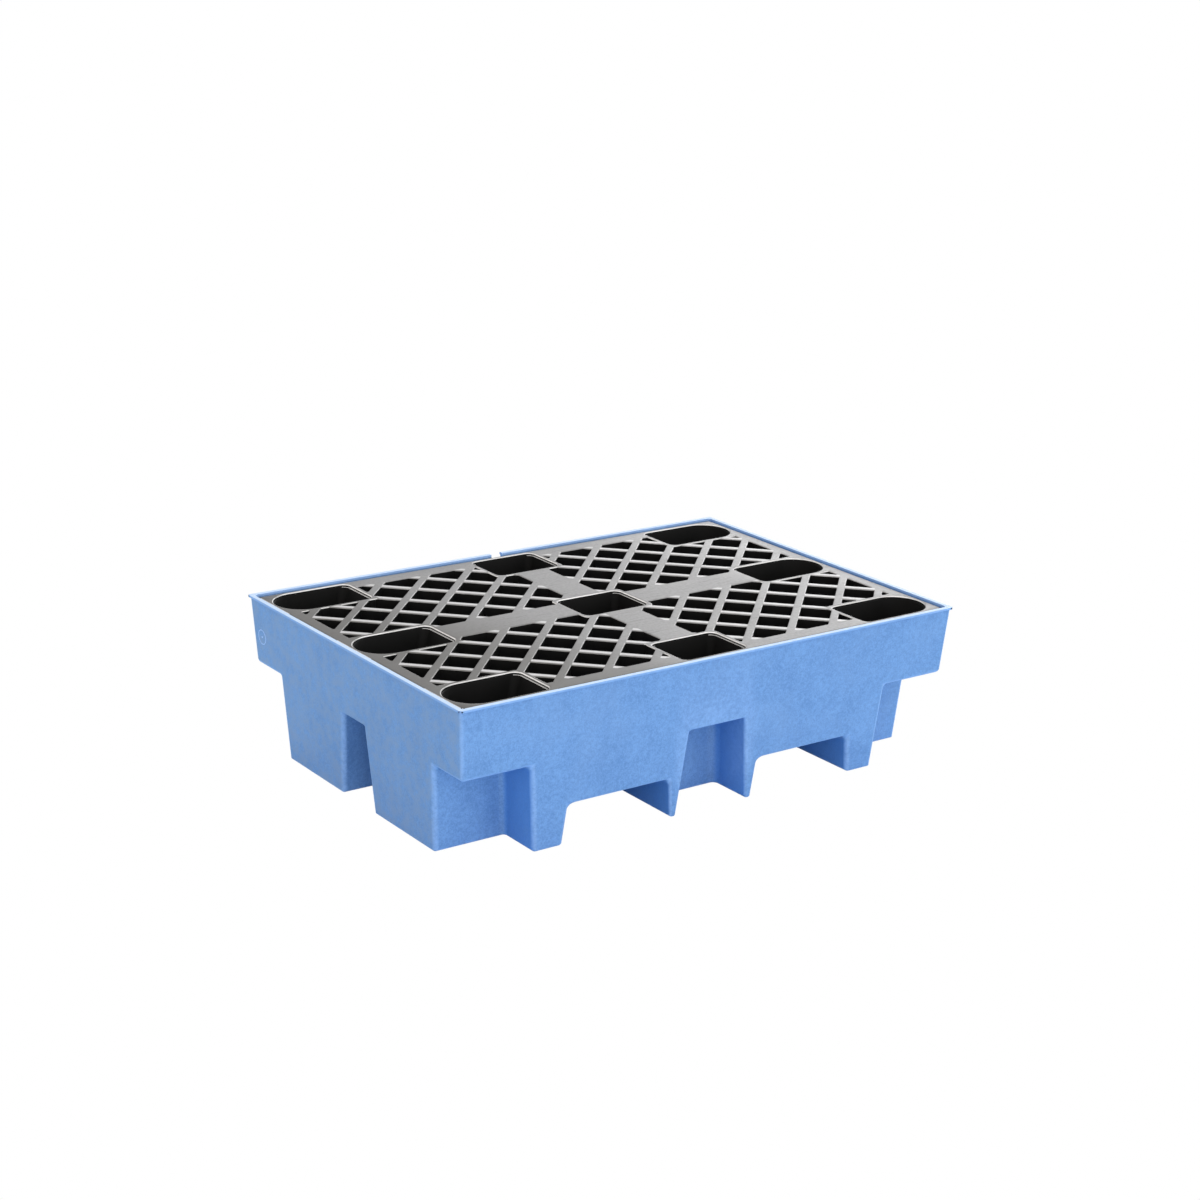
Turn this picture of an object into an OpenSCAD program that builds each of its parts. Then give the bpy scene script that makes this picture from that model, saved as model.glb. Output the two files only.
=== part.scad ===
// Spill containment pallet: a rotationally moulded sump tray with fork channels,
// and a nine-footed nestable plastic pallet that drops into it as the load deck.
// X runs along the length, Y across the width, Z up. The origin is on the floor
// under the middle of the tray.

/* [Tray] */
// Length over the rim
rim_l = 1230; // [1200:5:1260]
// Width over the rim
rim_w = 834; // [828:2:860]
// Height from the floor to the rim
tray_h = 330; // [310:5:350]
// Wall thickness of the moulding
wall = 7; // [5:0.5:8]
// How far the rim stands out beyond the wall
lip_out = 3; // [2:0.5:8]
// Depth of the rim's outer edge
lip_h = 5.5; // [3:0.5:10]
// Outward lean of the outer walls, in degrees
body_draft = 3.9; // [2:0.1:4.5]
// Width of the notch in the back rim
notch_w = 28; // [20:2:60]
// Depth of the notch in the back rim
notch_d = 22; // [10:2:40]

/* [Recesses and fork channels] */
// Height of the step-ups that the deck's feet stand over
step_z = 182; // [170:1:190]
// Distance from the middle to the outer step-ups, along X at the floor
step_x = 430; // [425:1:440]
// Distance from the middle to the outer step-ups, along Y at the floor
step_y = 290; // [285:1:295]
// Half the length of the middle step-ups, along X at the floor
mid_x = 88; // [86:0.5:92]
// Half the width of the middle step-ups, along Y at the floor
mid_y = 61; // [58:1:66]
// Nearest edge of a fork channel to the middle, at the floor
fork_x0 = 103; // [98:0.5:106]
// Farthest edge of a fork channel from the middle, at the floor
fork_x1 = 361; // [340:1:370]
// Height of a fork channel
fork_z = 86; // [80:1:100]

/* [Deck pallet] */
// Length of the deck
deck_l = 1200; // [1190:1:1203]
// Width of the deck
deck_w = 800; // [790:1:803]
// How far the deck's top lies below the rim
deck_drop = 4; // [1:0.5:12]
// Depth of the deck's frame and bars
deck_depth = 26; // [20:1:32]
// Thickness of the deck's top skin and side webs
skin = 4; // [3:0.5:5]
// Distance from bar to bar of the diagonal lattice
bar_pitch = 81; // [75:0.5:90]
// Width of a lattice bar
bar_w = 17; // [14:0.5:20]
// Width of the end strips of the frame
strip_x = 29; // [24:1:34]
// Width of the side strips of the frame
strip_y = 40; // [34:1:44]
// Width of the two bands that cross the middle
band_w = 80; // [60:2:90]
// Margin of solid skin round each foot pocket
margin = 7; // [6:0.5:14]

/* [Feet] */
// Inner end of an outer foot pocket, from the middle
foot_x = 393; // [385:1:400]
// Centre of the round end of an outer foot pocket
foot_end_x = 533; // [520:1:536]
// Half the length of a middle foot pocket
foot_mid = 81; // [76:1:84]
// Half the width of every foot pocket
foot_half = 60; // [56:1:62]
// Distance between rows of feet
foot_row = 332; // [328:1:334]
// How much a foot narrows on each side from deck to sole
foot_taper = 28; // [24:1:30]
// How much an outer foot's inner end slopes from deck to sole
foot_slope = 53; // [49:1:56]

/* [Hidden] */
$fn = 96;

// Gap between parts that move apart
gap = 0.3;
// Overcut, so that no cutter ends flush with a face
over = 1;
// Longer than anything that is cut
big = 2000;

lean = tan(body_draft);
lean_step_x = 0.088;
lean_step_y = 0.070;
lean_mid_x = 0.103;
lean_mid_y = 0.115;
lean_fork = 0.105;

base_x = rim_l / 2 - lip_out - lean * tray_h;
base_y = rim_w / 2 - lip_out - lean * tray_h;

deck_z = tray_h - deck_drop;
under_z = deck_z - deck_depth;
sole_z = step_z + wall + gap;
deck_x = deck_l / 2;
deck_y = deck_w / 2;
window_x = deck_x - strip_x;
window_y = deck_y - strip_y;
corner_r = 8;
pocket_r = 6;
bars = ceil((window_x + window_y) / sqrt(2) / bar_pitch);

blue = [0.33, 0.52, 0.82];
black = [0.10, 0.10, 0.11];

// Limits that have leant inwards by l for every millimetre of height, at height z
function leant(limits, l, z) = [limits[0] + l * z, limits[1] - l * z];

// Block between heights z[0] and z[1], from a low rectangle to a high one
module tapered_block(x_low, x_high, y_low, y_high, z) {
    intersection() {
        rotate([90, 0, 0])
            linear_extrude(big, center = true)
                side_view(x_low, x_high, z);
        rotate([90, 0, 90])
            linear_extrude(big, center = true)
                side_view(y_low, y_high, z);
    }
}

// Four-sided outline of a tapered block, seen from one side
module side_view(low, high, z) {
    polygon([
        [low[0], z[0]],
        [low[1], z[0]],
        [high[1], z[1]],
        [high[0], z[1]]
    ]);
}

// Block with leaning sides: x and y are its limits at z = 0
module leaning_block(x, y, z, lx, ly) {
    tapered_block(
        leant(x, lx, z[0]), leant(x, lx, z[1]),
        leant(y, ly, z[0]), leant(y, ly, z[1]), z
    );
}

// The tray's outer form, or its cavity when inset by the wall
module body_form(inset, z) {
    leaning_block(
        [-base_x + inset, base_x - inset],
        [-base_y + inset, base_y - inset],
        z, -lean, -lean
    );
}

// The nine step-ups under the deck's feet, grown by the wall inside the tray
module step_ups(grow) {
    z = [-over, step_z + grow];
    far = big / 2;
    for (sx = [-1, 1], sy = [-1, 1])
        scale([sx, sy, 1])
            leaning_block(
                [step_x - grow, far], [step_y - grow, far],
                z, lean_step_x, lean_step_y
            );
    for (sy = [-1, 1])
        scale([1, sy, 1])
            leaning_block(
                [-mid_x - grow, mid_x + grow], [step_y - grow, far],
                z, lean_mid_x, lean_step_y
            );
    for (sx = [-1, 1])
        scale([sx, 1, 1])
            leaning_block(
                [step_x - grow, far], [-mid_y - grow, mid_y + grow],
                z, lean_step_x, lean_mid_y
            );
    leaning_block(
        [-mid_x - grow, mid_x + grow], [-mid_y - grow, mid_y + grow],
        z, lean_mid_x, lean_mid_y
    );
}

// The two channels for the forks, which run right through along Y
module fork_channels(grow) {
    for (sx = [-1, 1])
        scale([sx, 1, 1])
            leaning_block(
                [fork_x0 - grow, fork_x1 + grow], [-big / 2, big / 2],
                [-over, fork_z + grow], lean_fork, 0
            );
}

// Sump tray: hollow, with its rim turned out all round
module sump_tray() {
    color(blue)
        difference() {
            union() {
                body_form(0, [0, tray_h]);
                translate([-rim_l / 2, -rim_w / 2, tray_h - lip_h])
                    cube([rim_l, rim_w, lip_h]);
            }
            step_ups(0);
            fork_channels(0);
            difference() {
                body_form(wall, [wall, tray_h + over]);
                step_ups(wall);
                fork_channels(wall);
            }
            translate([-notch_w / 2, rim_w / 2 - notch_d, tray_h - notch_d])
                cube([notch_w, 2 * notch_d, notch_d + over]);
        }
}

// Rectangle with its centre at the origin and round corners
module round_rect(l, w, r) {
    square([l - 2 * r, w], center = true);
    square([l, w - 2 * r], center = true);
    for (sx = [-1, 1], sy = [-1, 1])
        translate([sx * (l / 2 - r), sy * (w / 2 - r)])
            circle(r);
}

// One family of lattice bars each way, each bar narrower by inset on both sides
module lattice(inset) {
    w = bar_w - 2 * inset;
    for (a = [-45, 45], k = [-bars : bars])
        rotate(a)
            translate([0, k * bar_pitch])
                square([big, w], center = true);
}

// The strips, bands and bars of the deck, seen from above
module deck_plan(inset) {
    difference() {
        round_rect(deck_l - 2 * inset, deck_w - 2 * inset, corner_r);
        square([2 * (window_x + inset), 2 * (window_y + inset)], center = true);
    }
    intersection() {
        lattice(inset);
        square([2 * window_x + inset, 2 * window_y + inset], center = true);
    }
    square([band_w - 2 * inset, 2 * window_y + inset], center = true);
    square([2 * window_x + inset, band_w - 2 * inset], center = true);
}

// Solid skin round the nine pockets
module pocket_margins() {
    mid_l = 2 * (foot_mid + margin);
    out_l = 2 * (deck_x - foot_x + margin - skin);
    w = 2 * (foot_half + margin);
    r = pocket_r + margin;
    intersection() {
        round_rect(deck_l, deck_w, corner_r);
        union()
            for (row = [-1 : 1])
                translate([0, row * foot_row]) {
                    round_rect(mid_l, w, r);
                    for (sx = [-1, 1])
                        translate([sx * (deck_x - skin), 0])
                            round_rect(out_l, w, r);
                }
    }
}

// How far a foot's side that slopes by d in all has moved inwards at height z
function slope_at(d, z) = d * (deck_z - z) / (deck_z - sole_z);

// Half the width of a foot at height z
function foot_y(grow, z) = foot_half + grow - slope_at(foot_taper, z);

// Foot in the middle column, between the heights z[0] and z[1]
module middle_foot(grow, z) {
    half_l = [for (h = z) foot_mid + grow - slope_at(foot_taper, h)];
    half_w = [for (h = z) foot_y(grow, h)];
    tapered_block(
        [-half_l[0], half_l[0]], [-half_l[1], half_l[1]],
        [-half_w[0], half_w[0]], [-half_w[1], half_w[1]], z
    );
}

// Foot in an end column: square at its inner end and round at its outer end
module end_foot(grow, z) {
    inner = [for (h = z) foot_x - grow + slope_at(foot_slope, h)];
    half_w = [for (h = z) foot_y(grow, h)];
    tapered_block(
        [inner[0], foot_end_x], [inner[1], foot_end_x],
        [-half_w[0], half_w[0]], [-half_w[1], half_w[1]], z
    );
    translate([foot_end_x, 0, z[0]])
        cylinder(h = z[1] - z[0], r1 = half_w[0], r2 = half_w[1]);
}

// All nine feet, either as outer forms or as the hollows inside them
module feet(grow, z) {
    for (row = [-1 : 1])
        translate([0, row * foot_row, 0]) {
            middle_foot(grow, z);
            for (sx = [-1, 1])
                scale([sx, 1, 1])
                    end_foot(grow, z);
        }
}

// Top of the deck: frame, bands and lattice as channels that are open below
module deck_grid() {
    color(black)
        difference() {
            translate([0, 0, under_z])
                linear_extrude(deck_depth)
                    union() {
                        deck_plan(0);
                        pocket_margins();
                    }
            translate([0, 0, under_z - over])
                linear_extrude(deck_depth + over - skin)
                    difference() {
                        deck_plan(skin);
                        pocket_margins();
                    }
            feet(0, [under_z - over, deck_z + over]);
        }
}

// Feet of the deck, below its underside: they are of one moulding with the grid, and the joint between
// them here is a flat ring under each pocket's margin
module deck_feet() {
    color(black)
        difference() {
            feet(skin, [sole_z, under_z]);
            feet(0, [sole_z + skin, under_z + over]);
        }
}

sump_tray();
deck_grid();
deck_feet();
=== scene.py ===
"""Spill containment pallet: the looks of its sump tray and its deck pallet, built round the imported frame."""

import math

import bmesh
import bpy
import numpy as np
from mathutils import Matrix, Vector, geometry


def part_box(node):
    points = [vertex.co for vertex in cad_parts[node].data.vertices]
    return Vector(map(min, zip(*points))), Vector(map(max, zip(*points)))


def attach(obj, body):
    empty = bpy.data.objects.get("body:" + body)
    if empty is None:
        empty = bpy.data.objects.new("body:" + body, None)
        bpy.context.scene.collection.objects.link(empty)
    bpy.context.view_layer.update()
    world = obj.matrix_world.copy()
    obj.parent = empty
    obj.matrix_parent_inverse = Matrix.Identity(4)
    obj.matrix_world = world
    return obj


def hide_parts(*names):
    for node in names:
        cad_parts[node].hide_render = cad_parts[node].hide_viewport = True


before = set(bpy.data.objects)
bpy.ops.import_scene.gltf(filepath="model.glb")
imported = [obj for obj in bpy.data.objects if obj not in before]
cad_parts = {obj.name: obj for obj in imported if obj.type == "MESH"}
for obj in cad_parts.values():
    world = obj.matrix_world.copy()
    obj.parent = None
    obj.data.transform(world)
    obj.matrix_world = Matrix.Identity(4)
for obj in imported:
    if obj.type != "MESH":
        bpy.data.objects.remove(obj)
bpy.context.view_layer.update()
scene = bpy.context.scene
MM = 0.001

# ---------------------------------------------------------------- sizes, in metres
TRAY_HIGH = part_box("sump_tray")[1]
DECK_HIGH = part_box("deck_grid")[1]
SOLE_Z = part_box("deck_feet")[0].z

RIM_X, RIM_Y, RIM_Z = TRAY_HIGH
WALL = 7 * MM
LIP_OUT = 3 * MM
LIP_HEIGHT = 5.5 * MM
LEAN = math.tan(math.radians(3.9))
TILT = math.atan(LEAN)
STEP_Z = 182 * MM
FORK_Z = 86 * MM
MID_X = 88 * MM
FORK_START_X = 103 * MM
FORK_END_X = 361 * MM
END_X = 430 * MM
MID_Y = 61 * MM
END_Y = 290 * MM
MID_SLOPE_X = 0.103
FORK_SLOPE = 0.105
END_SLOPE_X = 0.088
MID_SLOPE_Y = 0.115
END_SLOPE_Y = 0.070
FLAT_ANGLE = 0.5
WIDEST_BEVEL = 22 * MM
NOTCH_WIDTH = 28 * MM
NOTCH_DEPTH = 22 * MM
NOTCH_CORNER = 3 * MM
RING_Y = 371 * MM
RING_Z = 247 * MM
RING_CENTRE = np.array((-(RIM_X - LIP_OUT - LEAN * (RIM_Z - RING_Z)), RING_Y, RING_Z))
RING_RADIUS = 15.5 * MM
RING_BEAD = 1.1 * MM
RING_FLATNESS = 0.7
RING_DOT = 2.6 * MM
DOT_FLATNESS = 0.35
RING_WEAR = 3.0
# Extra paleness for the convex edges under the step-ups: a painted highlight against the shade below them.
UNDER_STEP_HIGHLIGHT = 1.7

DECK_X, DECK_Y, DECK_Z = DECK_HIGH
SKIN = 4 * MM
DECK_DEPTH = 26 * MM
FOOT_ROW = 332 * MM
FOOT_HALF = 60 * MM
FOOT_MID = 81 * MM
FOOT_X = 393 * MM
FOOT_END_X = 533 * MM
FOOT_TAPER = 28 * MM
FOOT_SLOPE = 53 * MM
BAR_PITCH = 81 * MM
BAR_WIDTH = 17 * MM
BAND = 80 * MM
STRIP_X = 29 * MM
STRIP_Y = 40 * MM
POCKET_MARGIN = 7 * MM
MASK_SOFT = 1 * MM

BIGGEST_CELL = 8000 * MM ** 2
SMALLEST_CELL = 60 * MM ** 2
CELL_CORNER = 2.5 * MM
CELL_EDGE = 1.9 * MM
CELL_DRAFT = 0.5 * MM
SKIRT_EDGE = 4 * MM
SKIRT_DRAFT = 1 * MM
MOUTH_EDGE = 2.2 * MM
LEDGE = 1.7 * MM
LEDGE_DEPTH = 4.5 * MM
SCUFF_DEPTH = 2.4 * MM
INNER_LEDGE_X = 430 * MM
POCKET_CORNER = 17 * MM
POCKET_FLOOR_CORNER = 9 * MM
FOOT_CORNER = 19 * MM
SOLE_EDGE = 5 * MM


# ---------------------------------------------------------------- mesh helpers
def new_object(name, mesh, body):
    """Puts a mesh in the scene as a piece that rides on a body."""
    obj = bpy.data.objects.new(name, mesh)
    scene.collection.objects.link(obj)
    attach(obj, body)
    return obj


def to_mesh(bm, name):
    bmesh.ops.recalc_face_normals(bm, faces=bm.faces)
    mesh = bpy.data.meshes.new(name)
    bm.to_mesh(mesh)
    bm.free()
    return mesh


def smooth_with_sharp_edges(obj):
    """Smooth shading that keeps flat faces flat and sharp edges sharp."""
    obj.data.polygons.foreach_set("use_smooth", [True] * len(obj.data.polygons))
    obj.data.set_sharp_from_angle(angle=math.radians(48))
    normals = obj.modifiers.new("even_shading", "WEIGHTED_NORMAL")
    normals.keep_sharp = True


def rounded_over(radius, steps=3):
    """Places (how far back, how far down) along a quarter round from a flat top to a wall."""
    angles = np.linspace(0, math.pi / 2, steps + 1)
    return [(radius * (1 - math.sin(a)), radius * (1 - math.cos(a))) for a in angles]


def rounded_under(radius, steps=4):
    """Places (how far inwards, how far above the floor) along a quarter round from a wall to a flat floor."""
    angles = np.linspace(0, math.pi / 2, steps + 1)
    return [(radius * (1 - math.cos(a)), radius * (1 - math.sin(a))) for a in angles]


# ---------------------------------------------------------------- sump tray
def plane(start, slope, top, bottom=0.0):
    """Place of a leaning wall at height z: it leans only between the heights bottom and top."""
    return lambda z: start + slope * min(max(z, bottom), top)


def mirrored(lines):
    """Grid lines on both sides of the middle, from the lowest to the highest."""
    minus = [lambda z, line=line: -line(z) for line in reversed(lines)]
    return minus + list(lines)


def grid_surface(bm, xs, ys, zs, solid, outward, open_top):
    """Adds the faces between solid and empty cells of a grid of leaning planes; returns its vertices."""
    verts = {}

    def vert(i, j, k):
        if (i, j, k) not in verts:
            z = zs[k]
            verts[i, j, k] = bm.verts.new((xs[i](z), ys[j](z), z))
        return verts[i, j, k]

    size = (len(xs) - 1, len(ys) - 1, len(zs) - 1)

    def inside(cell):
        return all(0 <= c < n for c, n in zip(cell, size)) and solid(*cell)

    for i in range(-1, size[0] + 1):
        for j in range(-1, size[1] + 1):
            for k in range(-1, size[2] + 1):
                for axis in range(3):
                    here = (i, j, k)
                    there = tuple(c + (a == axis) for a, c in enumerate(here))
                    if inside(here) == inside(there):
                        continue
                    if axis == 2 and k + 1 == size[2] and open_top:
                        continue
                    u, v = (axis + 1) % 3, (axis + 2) % 3
                    corners = []
                    for du, dv in ((0, 0), (1, 0), (1, 1), (0, 1)):
                        corner = list(there)
                        corner[u] += du
                        corner[v] += dv
                        corners.append(vert(*corner))
                    if inside(there) == outward:
                        corners.reverse()
                    bm.faces.new(corners)
    return verts


def category(index, count):
    """0 for the outermost cell of a row, 1 for the next, and so on, the same from both ends."""
    return min(index, count - 1 - index)


def tray_outside(bm):
    """The outside skin. Inwards along X, its cells are lip, recess, foot, fork, thin foot, recess."""
    base_x = RIM_X - LIP_OUT - LEAN * RIM_Z
    base_y = RIM_Y - LIP_OUT - LEAN * RIM_Z
    xs = mirrored([
        plane(MID_X, -MID_SLOPE_X, STEP_Z),
        plane(FORK_START_X, FORK_SLOPE, FORK_Z),
        plane(FORK_END_X, -FORK_SLOPE, FORK_Z),
        plane(END_X, END_SLOPE_X, STEP_Z),
        plane(base_x, LEAN, RIM_Z),
        plane(RIM_X, 0, RIM_Z),
    ])
    ys = mirrored([
        plane(MID_Y, -MID_SLOPE_Y, STEP_Z),
        plane(END_Y, END_SLOPE_Y, STEP_Z),
        plane(base_y, LEAN, RIM_Z),
        plane(RIM_Y, 0, RIM_Z),
    ])
    zs = [0.0, FORK_Z, STEP_Z, RIM_Z - LIP_HEIGHT, RIM_Z]

    def solid(i, j, k):
        cx, cy = category(i, len(xs) - 1), category(j, len(ys) - 1)
        if k == 3:
            return True
        if cx == 0 or cy == 0:
            return False
        step = cx in (1, 5) and cy in (1, 3)
        return not (k < 2 and step) and not (k == 0 and cx == 3)

    verts = grid_surface(bm, xs, ys, zs, solid, True, True)
    return xs, ys, verts


def tray_inside(bm):
    """The cavity, one wall thickness inside the outside skin."""
    base_x = RIM_X - LIP_OUT - LEAN * RIM_Z - WALL
    base_y = RIM_Y - LIP_OUT - LEAN * RIM_Z - WALL
    floor_z, fork_top, step_top = WALL, FORK_Z + WALL, STEP_Z + WALL
    xs = mirrored([
        plane(MID_X + WALL, -MID_SLOPE_X, step_top, fork_top),
        plane(FORK_START_X - WALL, FORK_SLOPE, fork_top),
        plane(FORK_END_X + WALL, -FORK_SLOPE, fork_top),
        plane(END_X - WALL, END_SLOPE_X, step_top),
        plane(base_x, LEAN, RIM_Z),
    ])
    ys = mirrored([
        plane(MID_Y + WALL, -MID_SLOPE_Y, step_top),
        plane(END_Y - WALL, END_SLOPE_Y, step_top),
        plane(base_y, LEAN, RIM_Z),
    ])
    zs = [floor_z, fork_top, step_top, RIM_Z]

    def hollow(i, j, k):
        cx, cy = category(i, len(xs) - 1), category(j, len(ys) - 1)
        step = cx in (0, 4) and cy in (0, 2)
        if k == 2:
            return True
        if k == 1:
            return not step
        if cx == 1:
            return True
        return cx in (0, 3, 4) and cy == 1

    verts = grid_surface(bm, xs, ys, zs, hollow, False, True)
    return xs, ys, verts


def tray_rim(bm, outer, inner):
    """Closes the top between the outside and the cavity, with one flat face along each side."""
    nx, ny = len(outer[0]) - 1, len(outer[1]) - 1
    mx, my = len(inner[0]) - 1, len(inner[1]) - 1
    outer_top, inner_top = 4, 3
    for j_out, j_in in ((0, 0), (ny, my)):
        far = [outer[2][i, j_out, outer_top] for i in range(nx + 1)]
        near = [inner[2][i, j_in, inner_top] for i in range(mx, -1, -1)]
        bm.faces.new(far + near)
    for i_out, i_in in ((0, 0), (nx, mx)):
        far = [outer[2][i_out, j, outer_top] for j in range(ny + 1)]
        near = [inner[2][i_in, j, inner_top] for j in range(my, -1, -1)]
        bm.faces.new(far + near)


def upright_radius(x, y, z, convex, thin_foot):
    """Radius of an edge that runs up the outside of the tray."""
    if x > RIM_X - 40 * MM and y > RIM_Y - 40 * MM:
        return 7 * MM
    if not convex:
        return 22 * MM if x < 100 * MM else 14 * MM
    if thin_foot and z < FORK_Z:
        return 3 * MM if x < 94 * MM else 6.5 * MM
    return 7 * MM if thin_foot else 11 * MM


def level_radius(x, y, z, convex, thin_foot, along_y):
    """Radius of a level edge of the outside below the lip: on the ground, under a step-up or over a fork."""
    under_corner = x > 440 * MM and y > 290 * MM
    if z < 1 * MM:
        if along_y and 80 * MM < x < 370 * MM:
            return 5 * MM if x < 120 * MM else 8 * MM
        return 2.6 * MM if thin_foot else 4 * MM
    if convex:
        return 9 * MM if under_corner else 2.5 * MM
    if z < FORK_Z + 1 * MM:
        return 19 * MM
    return 15 * MM if under_corner else 9 * MM


def edge_radius(edge, outside):
    """Radius of one edge of the tray, from where it lies; 0 leaves it flat."""
    if len(edge.link_faces) != 2 or edge.calc_face_angle(0) < FLAT_ANGLE:
        return 0
    start, end = (v.co for v in edge.verts)
    middle = (start + end) / 2
    x, y, z = abs(middle.x), abs(middle.y), middle.z
    upright = abs(start.z - end.z) > 1 * MM
    along_y = abs(start.y - end.y) > abs(start.x - end.x)
    convex = edge.is_convex
    if z > RIM_Z - LIP_HEIGHT - 0.01 * MM and not upright:
        return 1.3 * MM if convex else 0.8 * MM
    if not outside:
        return 10 * MM
    thin_foot = 80 * MM < x < 120 * MM and (y > 280 * MM or y < 70 * MM)
    if upright:
        return upright_radius(x, y, z, convex, thin_foot)
    return level_radius(x, y, z, convex, thin_foot, along_y)


def apply_modifiers(obj):
    """Turns an object's modifiers into mesh."""
    graph = bpy.context.evaluated_depsgraph_get()
    mesh = bpy.data.meshes.new_from_object(obj.evaluated_get(graph))
    obj.modifiers.clear()
    obj.data = mesh
    return mesh


def carve(obj, operation, bm):
    """Joins a closed shape to an object, or cuts it out of it."""
    tool = bpy.data.objects.new("tool", to_mesh(bm, "tool"))
    scene.collection.objects.link(tool)
    modifier = obj.modifiers.new("carve", "BOOLEAN")
    modifier.operation = operation
    modifier.solver = "MANIFOLD"
    modifier.object = tool
    mesh = apply_modifiers(obj)
    bpy.data.objects.remove(tool)
    return mesh


def notch_shape():
    """Block for the notch in the back rim, with its lower corners rounded."""
    bm = bmesh.new()
    half, low, high = NOTCH_WIDTH / 2, RIM_Z - NOTCH_DEPTH, RIM_Z + 5 * MM
    right = [(half, high)]
    right += [(half - inwards, low + up) for inwards, up in rounded_under(NOTCH_CORNER)]
    outline = right + [(-x, z) for x, z in reversed(right)]
    inside_y, outside_y = RIM_Y - 40 * MM, RIM_Y + 10 * MM
    near = [bm.verts.new((x, inside_y, z)) for x, z in outline]
    far = [bm.verts.new((x, outside_y, z)) for x, z in outline]
    bm.faces.new(near)
    bm.faces.new(far[::-1])
    for i in range(len(near)):
        j = (i + 1) % len(near)
        bm.faces.new((near[j], near[i], far[i], far[j]))
    return bm


def ring_shape():
    """Moulded ring with a dot in it, half sunk in the left wall."""
    bm = bmesh.new()
    normal = Vector((-math.cos(TILT), 0, -math.sin(TILT)))
    upwards = Vector((-math.sin(TILT), 0, math.cos(TILT)))
    sideways = Vector((0, 1, 0))
    centre = Vector(RING_CENTRE)
    around, across = 64, 8
    rings = []
    for i in range(around):
        angle = 2 * math.pi * i / around
        spoke = sideways * math.cos(angle) + upwards * math.sin(angle)
        ring = []
        for j in range(across):
            turn = 2 * math.pi * j / across
            reach = RING_RADIUS + RING_BEAD * math.cos(turn)
            height = RING_FLATNESS * RING_BEAD * math.sin(turn)
            ring.append(bm.verts.new(centre + spoke * reach + normal * height))
        rings.append(ring)
    for i in range(around):
        for j in range(across):
            k, m = (i + 1) % around, (j + 1) % across
            bm.faces.new((rings[i][j], rings[k][j], rings[k][m], rings[i][m]))
    dot = Matrix.Translation(centre) @ normal.to_track_quat("Z", "Y").to_matrix().to_4x4()
    dot = dot @ Matrix.Diagonal((1, 1, DOT_FLATNESS, 1))
    bmesh.ops.create_uvsphere(bm, u_segments=20, v_segments=10, radius=RING_DOT, matrix=dot)
    return bm


def mark_wear_and_highlight_edges(mesh, edges):
    """Stores how pale the surface is painted: an edge's own wear on its crest, which stands for wear together
    with a painted highlight, RING_WEAR on the ring, else 0.
    """
    places = np.empty(len(mesh.vertices) * 3)
    mesh.vertices.foreach_get("co", places)
    places = places.reshape(-1, 3)
    wear_and_highlight = np.zeros(len(places))
    for start, end, radius, wear in edges:
        along = end - start
        share = np.clip((places - start) @ along / (along @ along), 0, 1)
        away = np.linalg.norm(places - start - share[:, None] * along, axis=1)
        wear_and_highlight = np.maximum(wear_and_highlight, wear * np.clip((radius - away) / (0.5 * radius), 0, 1))
    off_ring = np.linalg.norm(places - RING_CENTRE, axis=1)
    proud = (RING_CENTRE - places) @ np.array((math.cos(TILT), 0, math.sin(TILT)))
    wear_and_highlight[(off_ring < RING_RADIUS + 3 * MM) & (proud > 0.2 * MM)] = RING_WEAR
    layer = mesh.attributes.new("wear_and_highlight", "FLOAT", "POINT")
    layer.data.foreach_set("value", wear_and_highlight)


def tray_shape():
    """The tray with sharp edges, each with its bevel weight, and the list of the edges that are painted pale,
    for wear and as a painted highlight.
    """
    bm = bmesh.new()
    outer = tray_outside(bm)
    outside_faces = set(bm.faces)
    inner = tray_inside(bm)
    tray_rim(bm, outer, inner)
    bmesh.ops.recalc_face_normals(bm, faces=bm.faces)
    weights = bm.edges.layers.float.new("bevel_weight_edge")
    crests = []
    for edge in bm.edges:
        outside = any(f in outside_faces for f in edge.link_faces)
        radius = edge_radius(edge, outside)
        edge[weights] = radius / WIDEST_BEVEL
        if outside and radius > 1.5 * MM and edge.is_convex:
            start, end = (np.array(v.co) for v in edge.verts)
            # Edges under a step-up get a stronger painted highlight, as the shade from below darkens them.
            under_step = all(abs(z - STEP_Z) < 1 * MM for z in (start[2], end[2]))
            crests.append((start, end, radius, UNDER_STEP_HIGHLIGHT if under_step else 1.0))
    return bm, crests


def add_tray():
    bm, crests = tray_shape()
    mesh = bpy.data.meshes.new("sump_tray_shell")
    bm.to_mesh(mesh)
    bm.free()
    tray = new_object("sump_tray_shell", mesh, "tray")
    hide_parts("sump_tray")
    bevel = tray.modifiers.new("rounded_edges", "BEVEL")
    bevel.limit_method = "WEIGHT"
    bevel.width = WIDEST_BEVEL
    bevel.segments = 6
    bevel.use_clamp_overlap = False
    apply_modifiers(tray)
    carve(tray, "DIFFERENCE", notch_shape())
    mesh = carve(tray, "UNION", ring_shape())
    mesh.materials.clear()
    mesh.polygons.foreach_set("material_index", [0] * len(mesh.polygons))
    mark_wear_and_highlight_edges(mesh, crests)
    smooth_with_sharp_edges(tray)
    mesh.materials.append(tray_plastic())


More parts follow.
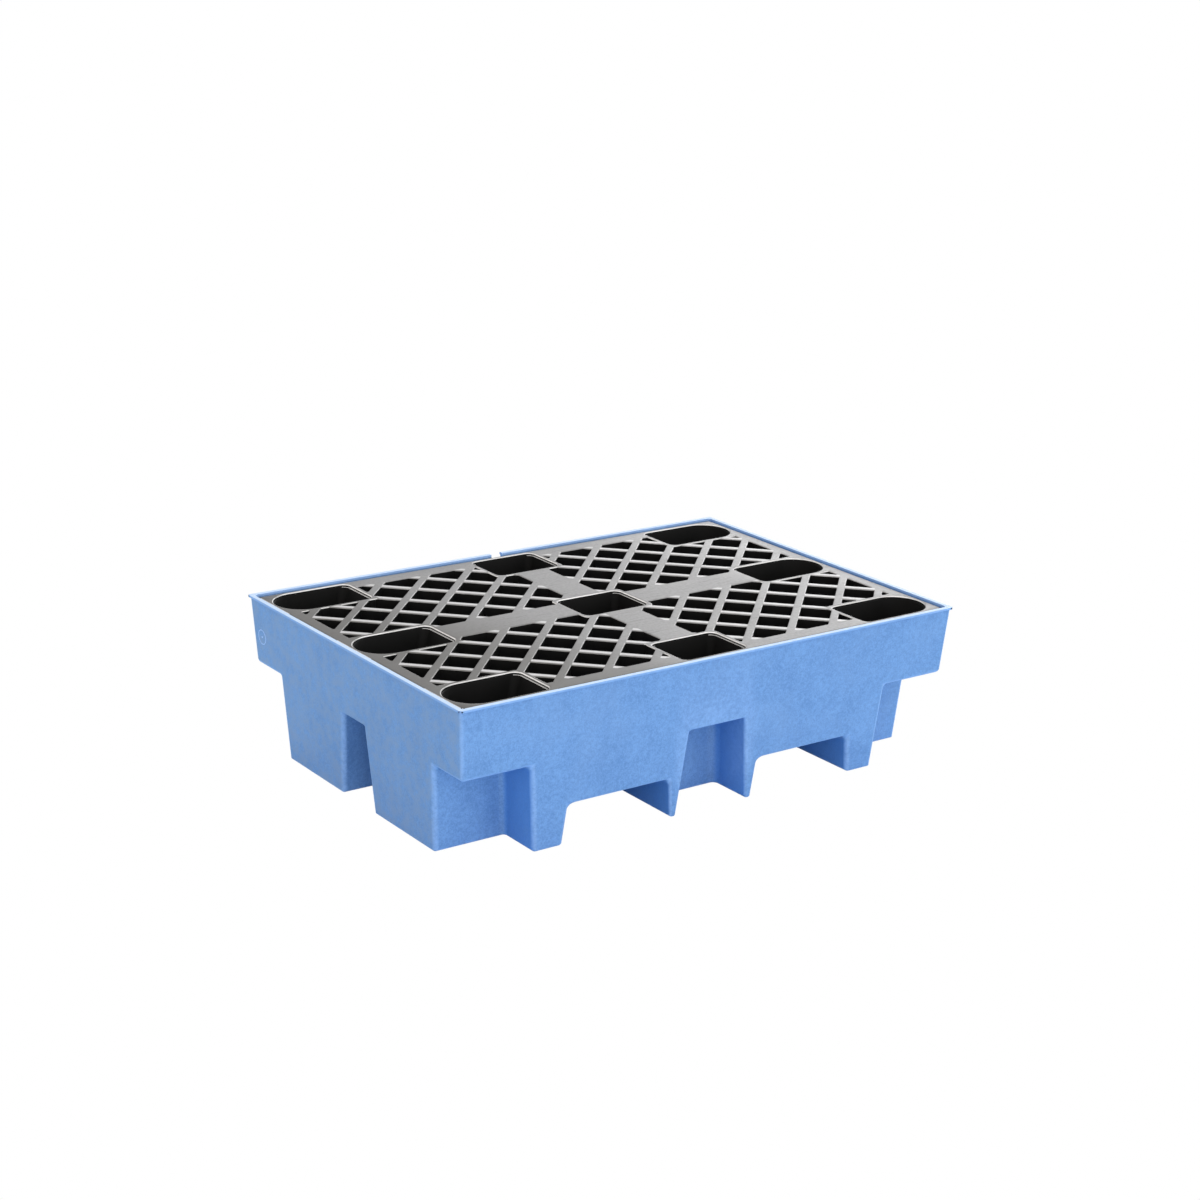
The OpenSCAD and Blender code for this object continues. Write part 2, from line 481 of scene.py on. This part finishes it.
# ---------------------------------------------------------------- deck pallet
def flat_outlines(node, z, facing):
    """Closed outlines of a CAD node's flat faces at height z, each with its material on the left."""
    mesh = node.data
    place = [tuple(round(c, 6) for c in v.co[:2]) for v in mesh.vertices]
    edges = {}
    for face in mesh.polygons:
        level = mesh.vertices[face.vertices[0]].co.z
        if face.normal.z * facing < 0.99 or abs(level - z) > 0.02 * MM:
            continue
        ring = [place[i] for i in face.vertices][::facing]
        for a, b in zip(ring, ring[1:] + ring[:1]):
            if (b, a) in edges:
                del edges[b, a]
            else:
                edges[a, b] = True
    after = dict(edges.keys())
    outlines = []
    while after:
        start, here = after.popitem()
        ring = [start]
        while here != start:
            ring.append(here)
            here = after.pop(here)
        outlines.append(np.array(ring))
    return outlines


def signed_area(ring):
    x, y = ring.T
    return 0.5 * float(np.sum(x * np.roll(y, -1) - y * np.roll(x, -1)))


def corners_only(ring):
    """Leaves out the points that lie on a straight stretch."""
    back = ring - np.roll(ring, 1, axis=0)
    ahead = np.roll(ring, -1, axis=0) - ring
    height = np.abs(back[:, 0] * ahead[:, 1] - back[:, 1] * ahead[:, 0])
    return ring[height > 0.02 * MM * np.hypot(*(back + ahead).T)]


def fillet(ring, radius, steps=4):
    """Rounds the corners of an outline, less where an edge beside a corner is short."""
    points = []
    for i, here in enumerate(ring):
        back = ring[i - 1] - here
        ahead = ring[(i + 1) % len(ring)] - here
        long_back, long_ahead = np.hypot(*back), np.hypot(*ahead)
        back, ahead = back / long_back, ahead / long_ahead
        turn = math.pi - math.acos(float(np.clip(back @ ahead, -1, 1)))
        if turn < math.radians(22):
            points.append(here)
            continue
        tangent = min(radius * math.tan(turn / 2), 0.45 * long_back, 0.45 * long_ahead)
        reach = tangent / math.sin(turn / 2)
        centre = here + (back + ahead) / np.hypot(*(back + ahead)) * reach
        spoke = here + back * tangent - centre
        way = 1 if back[0] * ahead[1] - back[1] * ahead[0] < 0 else -1
        for step in range(steps + 1):
            angle = way * turn * step / steps
            c, s = math.cos(angle), math.sin(angle)
            points.append(centre + (c * spoke[0] - s * spoke[1], s * spoke[0] + c * spoke[1]))
    return np.array(points)


def offset(ring, distance):
    """Moves an outline to its left, which is into the material."""
    def left(v):
        return np.stack((-v[:, 1], v[:, 0]), axis=1) / np.hypot(*v.T)[:, None]

    before = left(ring - np.roll(ring, 1, axis=0))
    after = left(np.roll(ring, -1, axis=0) - ring)
    mitre = (before + after) / (1 + np.sum(before * after, axis=1))[:, None]
    return ring + distance * mitre


def wall_from(bm, outlines):
    """Joins outlines of equal length, each given with its height, from the top down; returns the rings."""
    rings = [[bm.verts.new((x, y, z)) for x, y in ring] for ring, z in outlines]
    for upper, lower in zip(rings, rings[1:]):
        for i in range(len(upper)):
            j = (i + 1) % len(upper)
            bm.faces.new((upper[i], lower[i], lower[j], upper[j]))
    return rings


def fill_flat(bm, rings, up):
    """Fills the flat region between nested rings, which are by turns its outer edges and its holes."""
    verts = [v for ring in rings for v in ring]
    edges = []
    for ring in rings:
        start = len(edges)
        edges += [(start + i, start + (i + 1) % len(ring)) for i in range(len(ring))]
    flat = [v.co.to_2d() for v in verts]
    found = geometry.delaunay_2d_cdt(flat, edges, [], 0, 1e-7)
    places, triangles, originals = found[0], found[2], found[3]
    places = np.array(places)
    middles = places[np.array(triangles)].mean(axis=1)
    ends = np.array([(*flat[a], *flat[b]) for a, b in edges])
    x0, y0, x1, y1 = ends.T
    for triangle, (x, y) in zip(triangles, middles):
        crossed = (y0 > y) != (y1 > y)
        cut = x0[crossed] + (y - y0[crossed]) * (x1 - x0)[crossed] / (y1 - y0)[crossed]
        if np.count_nonzero(cut > x) % 2:
            corners = [verts[originals[i][0]] for i in triangle]
            bm.faces.new(corners if up else corners[::-1])


def arc(x, y, radius, start, end, steps):
    angles = np.radians(np.linspace(start, end, steps + 1))
    return np.stack((x + radius * np.cos(angles), y + radius * np.sin(angles)), axis=1)


def foot_outline(column, row, grow, z, corner):
    """Outline of a foot at height z, counter-clockwise; grow moves it outwards, and corner is its radius."""
    down = (DECK_Z - z) / (DECK_Z - SOLE_Z)
    half_y = FOOT_HALF + grow - FOOT_TAPER * down
    if column == 0:
        half_x = FOOT_MID + grow - FOOT_TAPER * down
        x, y = half_x - corner, half_y - corner
        ring = np.concatenate([
            arc(sx * x, sy * y, corner, start, start + 90, 8)
            for sx, sy, start in ((1, -1, -90), (1, 1, 0), (-1, 1, 90), (-1, -1, 180))
        ])
    else:
        inner = FOOT_X - grow + FOOT_SLOPE * down + corner
        y = half_y - corner
        ring = np.concatenate((
            arc(inner, -y, corner, 180, 270, 8),
            arc(FOOT_END_X, 0, half_y, -90, 90, 32),
            arc(inner, y, corner, 90, 180, 8),
        ))
    if column < 0:
        ring = ring[::-1] * (-1, 1)
    return ring + (0, row * FOOT_ROW)


def pocket_wall(bm, column, row):
    """The inside of a foot pocket, with its rounded mouth, the ledge below it and the floor."""
    levels = [(-back, down, POCKET_CORNER) for back, down in rounded_over(MOUTH_EDGE)]
    levels += [
        (0, LEDGE_DEPTH, POCKET_CORNER),
        (LEDGE * 0.3, LEDGE_DEPTH + 0.25 * MM, POCKET_CORNER),
        (LEDGE * 0.8, LEDGE_DEPTH + 0.5 * MM, POCKET_CORNER - 0.5 * MM),
        (LEDGE, LEDGE_DEPTH + 1.2 * MM, POCKET_CORNER - 1 * MM),
    ]
    floor = DECK_Z - SOLE_Z - SKIN
    for inwards, up in rounded_under(POCKET_FLOOR_CORNER):
        levels.append((LEDGE + inwards, floor - up, POCKET_FLOOR_CORNER))
    outlines = []
    for inwards, down, corner in levels:
        z = DECK_Z - down
        ring = foot_outline(column, row, -inwards, z, corner)
        outlines.append((ring[::-1], z))
    rings = wall_from(bm, outlines)
    bm.faces.new(rings[-1][::-1])
    return rings[0]


def foot_wall(bm, column, row):
    """The outside of a foot, from the underside of the deck to its sole."""
    levels = [(0, DECK_DEPTH)]
    for inwards, up in rounded_under(SOLE_EDGE):
        levels.append((inwards, DECK_Z - SOLE_Z - up))
    outlines = []
    for inwards, down in levels:
        z = DECK_Z - down
        outlines.append((foot_outline(column, row, SKIN - inwards, z, FOOT_CORNER), z))
    rings = wall_from(bm, outlines)
    bm.faces.new(rings[-1][::-1])
    return rings[0]


def deck_shape():
    """The whole deck moulding: frame, bands and lattice from the CAD outlines, and the nine hollow feet."""
    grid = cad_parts["deck_grid"]
    bm = bmesh.new()
    top, under, ceiling = [], [], []
    places = [(column, row) for column in (-1, 0, 1) for row in (-1, 0, 1)]
    for outline in flat_outlines(grid, DECK_Z, 1):
        outline = corners_only(outline)
        area = signed_area(outline)
        if area > 0:
            side, edge, draft = outline, SKIRT_EDGE, SKIRT_DRAFT
        elif area < -BIGGEST_CELL or area > -SMALLEST_CELL:
            continue
        else:
            side, edge, draft = fillet(outline, CELL_CORNER), CELL_EDGE, -CELL_DRAFT
        levels = [(back, down) for back, down in rounded_over(edge)]
        levels.append((draft, DECK_DEPTH))
        rings = wall_from(bm, [(offset(side, back), DECK_Z - down) for back, down in levels])
        top.append(rings[0])
        under.append(rings[-1])
    for outline in flat_outlines(grid, DECK_Z - SKIN, -1):
        side = corners_only(outline)[::-1]
        rings = wall_from(bm, [(side, DECK_Z - SKIN), (side, DECK_Z - DECK_DEPTH)])
        ceiling.append(rings[0])
        under.append(rings[-1])
    for column, row in places:
        top.append(pocket_wall(bm, column, row))
        under.append(foot_wall(bm, column, row))
    fill_flat(bm, top, True)
    fill_flat(bm, under, False)
    fill_flat(bm, ceiling, False)
    return bm


def is_scuffed_or_highlit(mesh, face):
    """Tells whether a face of the deck takes the top material: the top and its rounded edges, scuffed and
    painted with highlights, and the inner pocket ledges, where a painted highlight goes.
    """
    low = min(mesh.vertices[i].co.z for i in face.vertices)
    x, y = abs(face.center.x), abs(face.center.y)
    # Ledge faces across X at the inner ends of the pockets: a painted highlight.
    across_x = face.normal.z > 0.1 and abs(face.normal.x) > 0.3 and x < INNER_LEDGE_X
    on_ledge = DECK_Z - LEDGE_DEPTH - 1.3 * MM < low < DECK_Z - LEDGE_DEPTH - 0.1 * MM
    if on_ledge and across_x:
        return True
    at_skirt = x > DECK_X - SKIRT_EDGE or y > DECK_Y - SKIRT_EDGE
    small = face.area < 1000 * MM ** 2
    return low >= DECK_Z - SCUFF_DEPTH and not (at_skirt and small)


def add_deck():
    mesh = to_mesh(deck_shape(), "deck_moulding")
    deck = new_object("deck_moulding", mesh, "deck")
    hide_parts("deck_grid", "deck_feet")
    smooth_with_sharp_edges(deck)
    mesh.materials.append(deck_top_plastic())
    mesh.materials.append(deck_wall_plastic())
    for face in mesh.polygons:
        face.material_index = 0 if is_scuffed_or_highlit(mesh, face) else 1


# ---------------------------------------------------------------- materials
class Nodes:
    """Short calls that add nodes to one tree and join them up."""

    def __init__(self, tree):
        self.tree = tree
        tree.nodes.clear()

    def add(self, kind, inputs=None, **settings):
        node = self.tree.nodes.new(kind)
        for name, value in settings.items():
            setattr(node, name, value)
        for name, value in (inputs or {}).items():
            if isinstance(value, bpy.types.NodeSocket):
                self.tree.links.new(value, node.inputs[name])
            else:
                node.inputs[name].default_value = value
        return node

    def math(self, operation, a, b=0.0, c=0.0):
        return self.add("ShaderNodeMath", {0: a, 1: b, 2: c}, operation=operation).outputs[0]

    def step(self, value, low, high, to_low=0.0, to_high=1.0):
        """Smooth step of a value, from to_low at low to to_high at high."""
        inputs = {"Value": value, "From Min": low, "From Max": high, "To Min": to_low, "To Max": to_high}
        node = self.add("ShaderNodeMapRange", inputs, interpolation_type="SMOOTHSTEP")
        return node.outputs["Result"]

    def mix(self, factor, a, b):
        node = self.add("ShaderNodeMix", {0: factor, 6: a, 7: b}, data_type="RGBA")
        return node.outputs[2]

    def noise(self, place, scale, detail=2.0, roughness=0.5, stretch=(1, 1, 1)):
        """Noise from 0 to 1, with features of about 1/scale metres, shorter where the stretch is larger."""
        if stretch != (1, 1, 1):
            place = self.add("ShaderNodeMapping", {"Vector": place, "Scale": stretch}).outputs[0]
        inputs = {"Vector": place, "Scale": scale, "Detail": detail, "Roughness": roughness}
        return self.add("ShaderNodeTexNoise", inputs).outputs["Fac"]

    def place(self):
        """Position on the object, in metres."""
        return self.add("ShaderNodeTexCoord").outputs["Object"]

    def facing(self):
        """The parts of the surface's normal."""
        return self.parts(self.add("ShaderNodeNewGeometry").outputs["Normal"])

    def weighted(self, *parts):
        """Sum of values, each given with its weight."""
        total = 0.0
        for value, weight in parts:
            total = self.math("MULTIPLY_ADD", value, weight, total)
        return total

    def parts(self, vector):
        return self.add("ShaderNodeSeparateXYZ", {"Vector": vector}).outputs

    def bump(self, height, distance, strength, under=None):
        inputs = {"Height": height, "Distance": distance, "Strength": strength}
        if under:
            inputs["Normal"] = under
        return self.add("ShaderNodeBump", inputs).outputs["Normal"]


def finish_material(nodes, colour, roughness, normal, **constants):
    inputs = {"Base Color": colour, "Roughness": roughness, "Normal": normal, **constants}
    shader = nodes.add("ShaderNodeBsdfPrincipled", inputs)
    nodes.add("ShaderNodeOutputMaterial", {"Surface": shader.outputs["BSDF"]})


def new_material(name):
    material = bpy.data.materials.new(name)
    material.use_nodes = True
    return material, Nodes(material.node_tree)


def tray_plastic():
    """Rotationally moulded polyethylene: mottled blue; paler on its convex edges, for wear and as a painted
    highlight; a painted highlight on the lip and on the rim top, which is paler too where the flash is cut
    off; painted sheen and shade on faces towards -X.
    """
    material, nodes = new_material("tray_polyethylene")
    place = nodes.place()
    along = nodes.parts(place)
    facing = nodes.facing()
    speckle = nodes.noise(place, 330, 2.0, 0.6)
    grain = nodes.noise(place, 130, 3.0, 0.6)
    cloud = nodes.noise(place, 11, 4.0, 0.6)
    streaks = nodes.noise(place, 45, 3.0, 0.6, stretch=(1, 1, 0.06))
    shade = nodes.weighted((speckle, 0.38), (grain, 0.34), (cloud, 0.20), (streaks, 0.08))
    deep, light = (0.082, 0.197, 0.436, 1), (0.150, 0.306, 0.595, 1)
    blue = nodes.mix(nodes.step(shade, 0.36, 0.64), deep, light)
    bloom = nodes.step(nodes.noise(place, 5, 5.0, 0.65), 0.45, 0.75, 0.0, 0.30)
    blue = nodes.mix(bloom, blue, (0.185, 0.315, 0.560, 1))
    blue = left_side(nodes, along, facing, nodes.noise(place, 40, 4.0, 0.75), blue)
    # Convex edges painted paler: wear, together with a painted highlight on them.
    wear = nodes.add("ShaderNodeAttribute", attribute_name="wear_and_highlight").outputs["Fac"]
    wear_and_highlight = nodes.math("MULTIPLY", wear, nodes.step(grain, 0.2, 0.8, 0.25, 0.65))
    blue = nodes.mix(wear_and_highlight, blue, (0.260, 0.420, 0.740, 1))
    on_ring = nodes.step(wear, RING_WEAR - 1.0, RING_WEAR - 0.4)
    blue = nodes.mix(on_ring, blue, (0.36, 0.52, 0.82, 1))
    under_lip = RIM_Z - LIP_HEIGHT
    # The lip painted paler: a painted highlight along it.
    lip = nodes.step(along["Z"], under_lip + 0.2 * MM, under_lip + 1.0 * MM, 0.0, 0.5)
    blue = nodes.mix(lip, blue, (0.26, 0.43, 0.76, 1))
    # Upward faces at the rim top painted paler still: the cut-off flash there, with a painted highlight on it.
    at_top = nodes.step(along["Z"], RIM_Z - 1.2 * MM, RIM_Z - 0.4 * MM)
    cut_and_highlit = nodes.math("MULTIPLY", at_top, nodes.step(facing["Z"], 0.3, 0.8))
    colour = nodes.mix(cut_and_highlit, blue, (0.48, 0.64, 0.88, 1))
    roughness = nodes.step(grain, 0.3, 0.7, 0.44, 0.60)
    peel = nodes.bump(grain, 0.5 * MM, 0.14)
    normal = nodes.bump(speckle, 0.25 * MM, 0.20, peel)
    finish_material(nodes, colour, roughness, normal, **{"Specular IOR Level": 0.9})
    return material


def left_side(nodes, along, facing, mottle, blue):
    """Faces towards -X: greyed in patches on the outer wall as a painted sheen, a deeper, darker blue in the
    recesses behind it as painted shade.
    """
    leftwards = nodes.step(facing["X"], -0.95, -0.60, 1.0, 0.0)
    outer = nodes.step(along["X"], -RIM_X + 35 * MM, -RIM_X + 45 * MM, 1.0, 0.0)
    # Painted sheen: the outer wall's faces towards -X greyed in patches.
    painted_left_sheen = nodes.math("MULTIPLY", leftwards, outer)
    painted_left_sheen = nodes.math("MULTIPLY", painted_left_sheen, nodes.step(mottle, 0.36, 0.64, 0.05, 0.70))
    blue = nodes.mix(painted_left_sheen, blue, (0.190, 0.275, 0.440, 1))
    # Painted shade: faces towards -X inside the recesses mixed halfway to a deep, dark blue.
    inner = nodes.math("SUBTRACT", 0.5, nodes.math("MULTIPLY", outer, 0.5))
    painted_recess_shade = nodes.math("MULTIPLY", leftwards, inner)
    return nodes.mix(painted_recess_shade, blue, (0.022, 0.172, 0.575, 1))


def between(nodes, value, low, high):
    """1 between two limits and 0 outside them, with soft ends."""
    inside = nodes.step(value, low - MASK_SOFT, low + MASK_SOFT)
    return nodes.math("MULTIPLY", inside, nodes.step(value, high - MASK_SOFT, high + MASK_SOFT, 1.0, 0.0))


def clear_of_pockets(nodes, x, y):
    """1 between the columns or the rows of feet, 0 beside a pocket."""
    between_columns = between(nodes, x, FOOT_MID + POCKET_MARGIN, FOOT_X - POCKET_MARGIN)
    half_row = FOOT_HALF + POCKET_MARGIN
    between_rows = between(nodes, y, half_row, FOOT_ROW - half_row)
    return nodes.math("MAXIMUM", between_columns, between_rows)


def painted_highlight_bars(nodes, along, x, y):
    """1 on the bars of one family, between those of the other and inside the four panels of lattice: where a
    painted highlight goes.
    """
    def from_bar(sign):
        across = nodes.math("ADD", along["X"], nodes.math("MULTIPLY", along["Y"], sign))
        return nodes.math("PINGPONG", nodes.math("MULTIPLY", across, math.sqrt(0.5)), BAR_PITCH / 2)

    side = BAR_WIDTH / 2
    on_bar = nodes.step(from_bar(1), side - 4 * MASK_SOFT, side - MASK_SOFT, 1.0, 0.0)
    off_other = nodes.step(from_bar(-1), side - MASK_SOFT, side + MASK_SOFT)
    in_panel_x = between(nodes, x, BAND / 2, DECK_X - STRIP_X)
    in_panel_y = between(nodes, y, BAND / 2, DECK_Y - STRIP_Y)
    bars = nodes.math("MULTIPLY", on_bar, off_other)
    return nodes.math("MULTIPLY", bars, nodes.math("MULTIPLY", in_panel_x, in_panel_y))


def deck_top_plastic():
    """Top of the black moulding: scuffed grey by use and dusty, paler towards the back and right as a painted
    reflection, with painted highlights on one family of bars and on its edges, which are pale from rubbing
    too.
    """
    material, nodes = new_material("deck_top_scuffed_and_painted_sheen")
    place = nodes.place()
    along = nodes.parts(place)
    facing = nodes.facing()
    dust = nodes.noise(place, 7, 5.0, 0.65)
    scuffs = nodes.noise(place, 38, 4.0, 0.7, stretch=(0.15, 1, 1))
    grain = nodes.noise(place, 900, 2.0, 0.6)
    wear = nodes.step(nodes.weighted((dust, 0.5), (scuffs, 0.5)), 0.32, 0.68)
    # Painted reflection: the top's grey runs from dark at the front left to pale at the back right, standing
    # for the sheen of the grazing light.
    painted_sheen_ramp = nodes.math("ADD", along["X"], nodes.math("MULTIPLY", along["Y"], 0.45))
    front = nodes.mix(wear, (0.042, 0.039, 0.034, 1), (0.078, 0.074, 0.068, 1))
    middle = nodes.mix(wear, (0.172, 0.172, 0.177, 1), (0.250, 0.250, 0.256, 1))
    back = nodes.mix(wear, (0.290, 0.290, 0.296, 1), (0.400, 0.400, 0.408, 1))
    top = nodes.mix(nodes.step(painted_sheen_ramp, -0.50, -0.12), front, middle)
    top = nodes.mix(nodes.step(painted_sheen_ramp, 0.30, 0.62), top, back)
    specks = nodes.step(nodes.noise(place, 150, 3.0, 0.65), 0.3, 0.7, 0.0, 0.30)
    scratches = nodes.noise(place, 200, 3.0, 0.7, stretch=(0.05, 1, 1))
    marks = nodes.math("ADD", specks, nodes.step(scratches, 0.56, 0.70, 0.0, 0.40))
    top = nodes.mix(marks, top, (0.040, 0.038, 0.036, 1))
    x, y = (nodes.math("ABSOLUTE", along[axis]) for axis in "XY")
    clear = clear_of_pockets(nodes, x, y)
    # Painted highlight: one family of bars, away from the pockets, mixed towards pale grey.
    painted_bar_highlight = nodes.math("MULTIPLY", painted_highlight_bars(nodes, along, x, y), clear)
    top = nodes.mix(nodes.math("MULTIPLY", painted_bar_highlight, 0.85), top, (0.56, 0.56, 0.57, 1))
    # The rounded edges painted pale: rubbing wear and a painted highlight, full beside the pockets and faint
    # elsewhere, more where the edge faces along X plus Y.
    pale = nodes.mix(nodes.step(scuffs, 0.3, 0.7), (0.60, 0.60, 0.595, 1), (0.88, 0.88, 0.875, 1))
    across_bars = nodes.math("ABSOLUTE", nodes.math("ADD", facing["X"], facing["Y"]))
    rub_and_highlight = nodes.step(across_bars, 0.10, 0.70, 0.25, 1.0)
    rub_and_highlight = nodes.math("MULTIPLY", rub_and_highlight, nodes.step(clear, 0.0, 1.0, 1.0, 0.14))
    rubbed_and_highlit = nodes.mix(rub_and_highlight, top, pale)
    colour = nodes.mix(nodes.step(facing["Z"], 0.90, 0.985), rubbed_and_highlit, top)
    roughness = nodes.step(wear, 0.0, 1.0, 0.30, 0.42)
    normal = nodes.bump(grain, 0.1 * MM, 0.12)
    finish_material(nodes, colour, roughness, normal)
    return material


def deck_wall_plastic():
    """Walls of the black moulding: clean and satin, faintly drawn down by the mould."""
    material, nodes = new_material("deck_wall_clean")
    place = nodes.place()
    drawn = nodes.noise(place, 120, 3.0, 0.6, stretch=(1, 1, 0.08))
    smudge = nodes.noise(place, 22, 4.0, 0.6)
    colour = nodes.mix(smudge, (0.005, 0.005, 0.005, 1), (0.009, 0.009, 0.009, 1))
    roughness = nodes.step(smudge, 0.3, 0.7, 0.42, 0.56)
    normal = nodes.bump(drawn, 0.2 * MM, 0.05)
    finish_material(nodes, colour, roughness, normal, **{"Specular IOR Level": 0.05})
    return material


def floor_paint():
    """Seamless studio floor: evenly white to the camera, a pale blue matt floor to the light."""
    material, nodes = new_material("studio_floor")
    seen = nodes.add("ShaderNodeLightPath").outputs["Is Camera Ray"]
    glow = nodes.add("ShaderNodeEmission", {"Color": (1, 1, 1, 1), "Strength": seen})
    bounce = nodes.mix(seen, (0.50, 0.76, 0.98, 1), (0, 0, 0, 1))
    matt = nodes.add("ShaderNodeBsdfDiffuse", {"Color": bounce})
    both = nodes.add("ShaderNodeAddShader", {0: glow.outputs[0], 1: matt.outputs[0]})
    nodes.add("ShaderNodeOutputMaterial", {"Surface": both.outputs[0]})
    return material


# ---------------------------------------------------------------- camera and light
CAMERA_ANGLES = (-35.96, 17.34, 1.58)
CAMERA_DISTANCE = 4.9263
CAMERA_UP = 0.3162
CAMERA_RIGHT = 0.0040
SENSOR_WIDTH = 36
FOCAL_LENGTH = 68.83
FLOOR_RADIUS = 120
FLOOR_DROP = 0.2 * MM
SKY = 0.92
# Each lobe of light: towards where, cosines at its edge and at full strength, heights likewise, and its gain.
SKY_LOBES = (
    ((0.00, -1.00, 0.0), 0.20, 0.90, 0.80, 0.25, 1.50),
    ((0.95, 0.31, 0.0), 0.70, 0.98, 0.50, 0.15, 5.40),
    ((-1.00, 0.00, 0.0), 0.20, 0.90, 0.80, 0.25, 0.20),
)
WARM_TINT = (1.08, 1.00, 0.94, 1)


def make_camera():
    """The photograph's view: from the front left, a little above the rim, with a slight roll."""
    azimuth, elevation, roll = (math.radians(angle) for angle in CAMERA_ANGLES)
    back = Vector((
        math.sin(azimuth) * math.cos(elevation),
        -math.cos(azimuth) * math.cos(elevation),
        math.sin(elevation),
    ))
    flat_right = Vector((0, 0, 1)).cross(back).normalized()
    flat_up = back.cross(flat_right)
    right = flat_right * math.cos(roll) + flat_up * math.sin(roll)
    up = flat_up * math.cos(roll) - flat_right * math.sin(roll)
    data = bpy.data.cameras.new("camera")
    data.sensor_width = SENSOR_WIDTH
    data.lens = FOCAL_LENGTH
    camera = bpy.data.objects.new("camera", data)
    scene.collection.objects.link(camera)
    place = back * CAMERA_DISTANCE + up * CAMERA_UP + right * CAMERA_RIGHT
    camera.matrix_world = Matrix((
        (right.x, up.x, back.x, place.x),
        (right.y, up.y, back.y, place.y),
        (right.z, up.z, back.z, place.z),
        (0, 0, 0, 1),
    ))
    scene.camera = camera


def sky_strength(nodes, direction):
    """Strength of the sky: even, plus low lobes, strong at the right, weaker at the front and the left."""
    height = nodes.parts(direction)["Z"]
    strength = SKY
    for towards, wide, narrow, high, low, gain in SKY_LOBES:
        toward = nodes.add("ShaderNodeVectorMath", {0: direction, 1: towards}, operation="DOT_PRODUCT")
        across = nodes.step(toward.outputs["Value"], wide, narrow, 0.0, gain)
        upright = nodes.step(height, low, high, 1.0, 0.0)
        strength = nodes.math("MULTIPLY_ADD", across, upright, strength)
    return strength


def make_light():
    """A sky that looks plain white to the camera, and lights the object unevenly, warmer from the left."""
    world = bpy.data.worlds.new("studio")
    scene.world = world
    world.use_nodes = True
    nodes = Nodes(world.node_tree)
    direction = nodes.add("ShaderNodeTexCoord").outputs["Generated"]
    seen = nodes.add("ShaderNodeLightPath").outputs["Is Camera Ray"]
    unseen = nodes.math("SUBTRACT", 1.0, seen)
    total = nodes.math("MULTIPLY_ADD", unseen, sky_strength(nodes, direction), seen)
    leftness = nodes.math("MULTIPLY", nodes.parts(direction)["X"], -1.0)
    warm = nodes.math("MULTIPLY", nodes.step(leftness, 0.1, 0.9), unseen)
    colour = nodes.mix(warm, (1, 1, 1, 1), WARM_TINT)
    background = nodes.add("ShaderNodeBackground", {"Color": colour, "Strength": total})
    nodes.add("ShaderNodeOutputWorld", {"Surface": background.outputs[0]})
    scene.view_settings.view_transform = "Standard"


def make_floor():
    bm = bmesh.new()
    bmesh.ops.create_circle(bm, cap_ends=True, segments=96, radius=FLOOR_RADIUS)
    mesh = to_mesh(bm, "floor")
    floor = bpy.data.objects.new("floor", mesh)
    scene.collection.objects.link(floor)
    floor.location.z = -FLOOR_DROP
    floor.data.materials.append(floor_paint())


make_camera()
make_light()
make_floor()
add_tray()
add_deck()
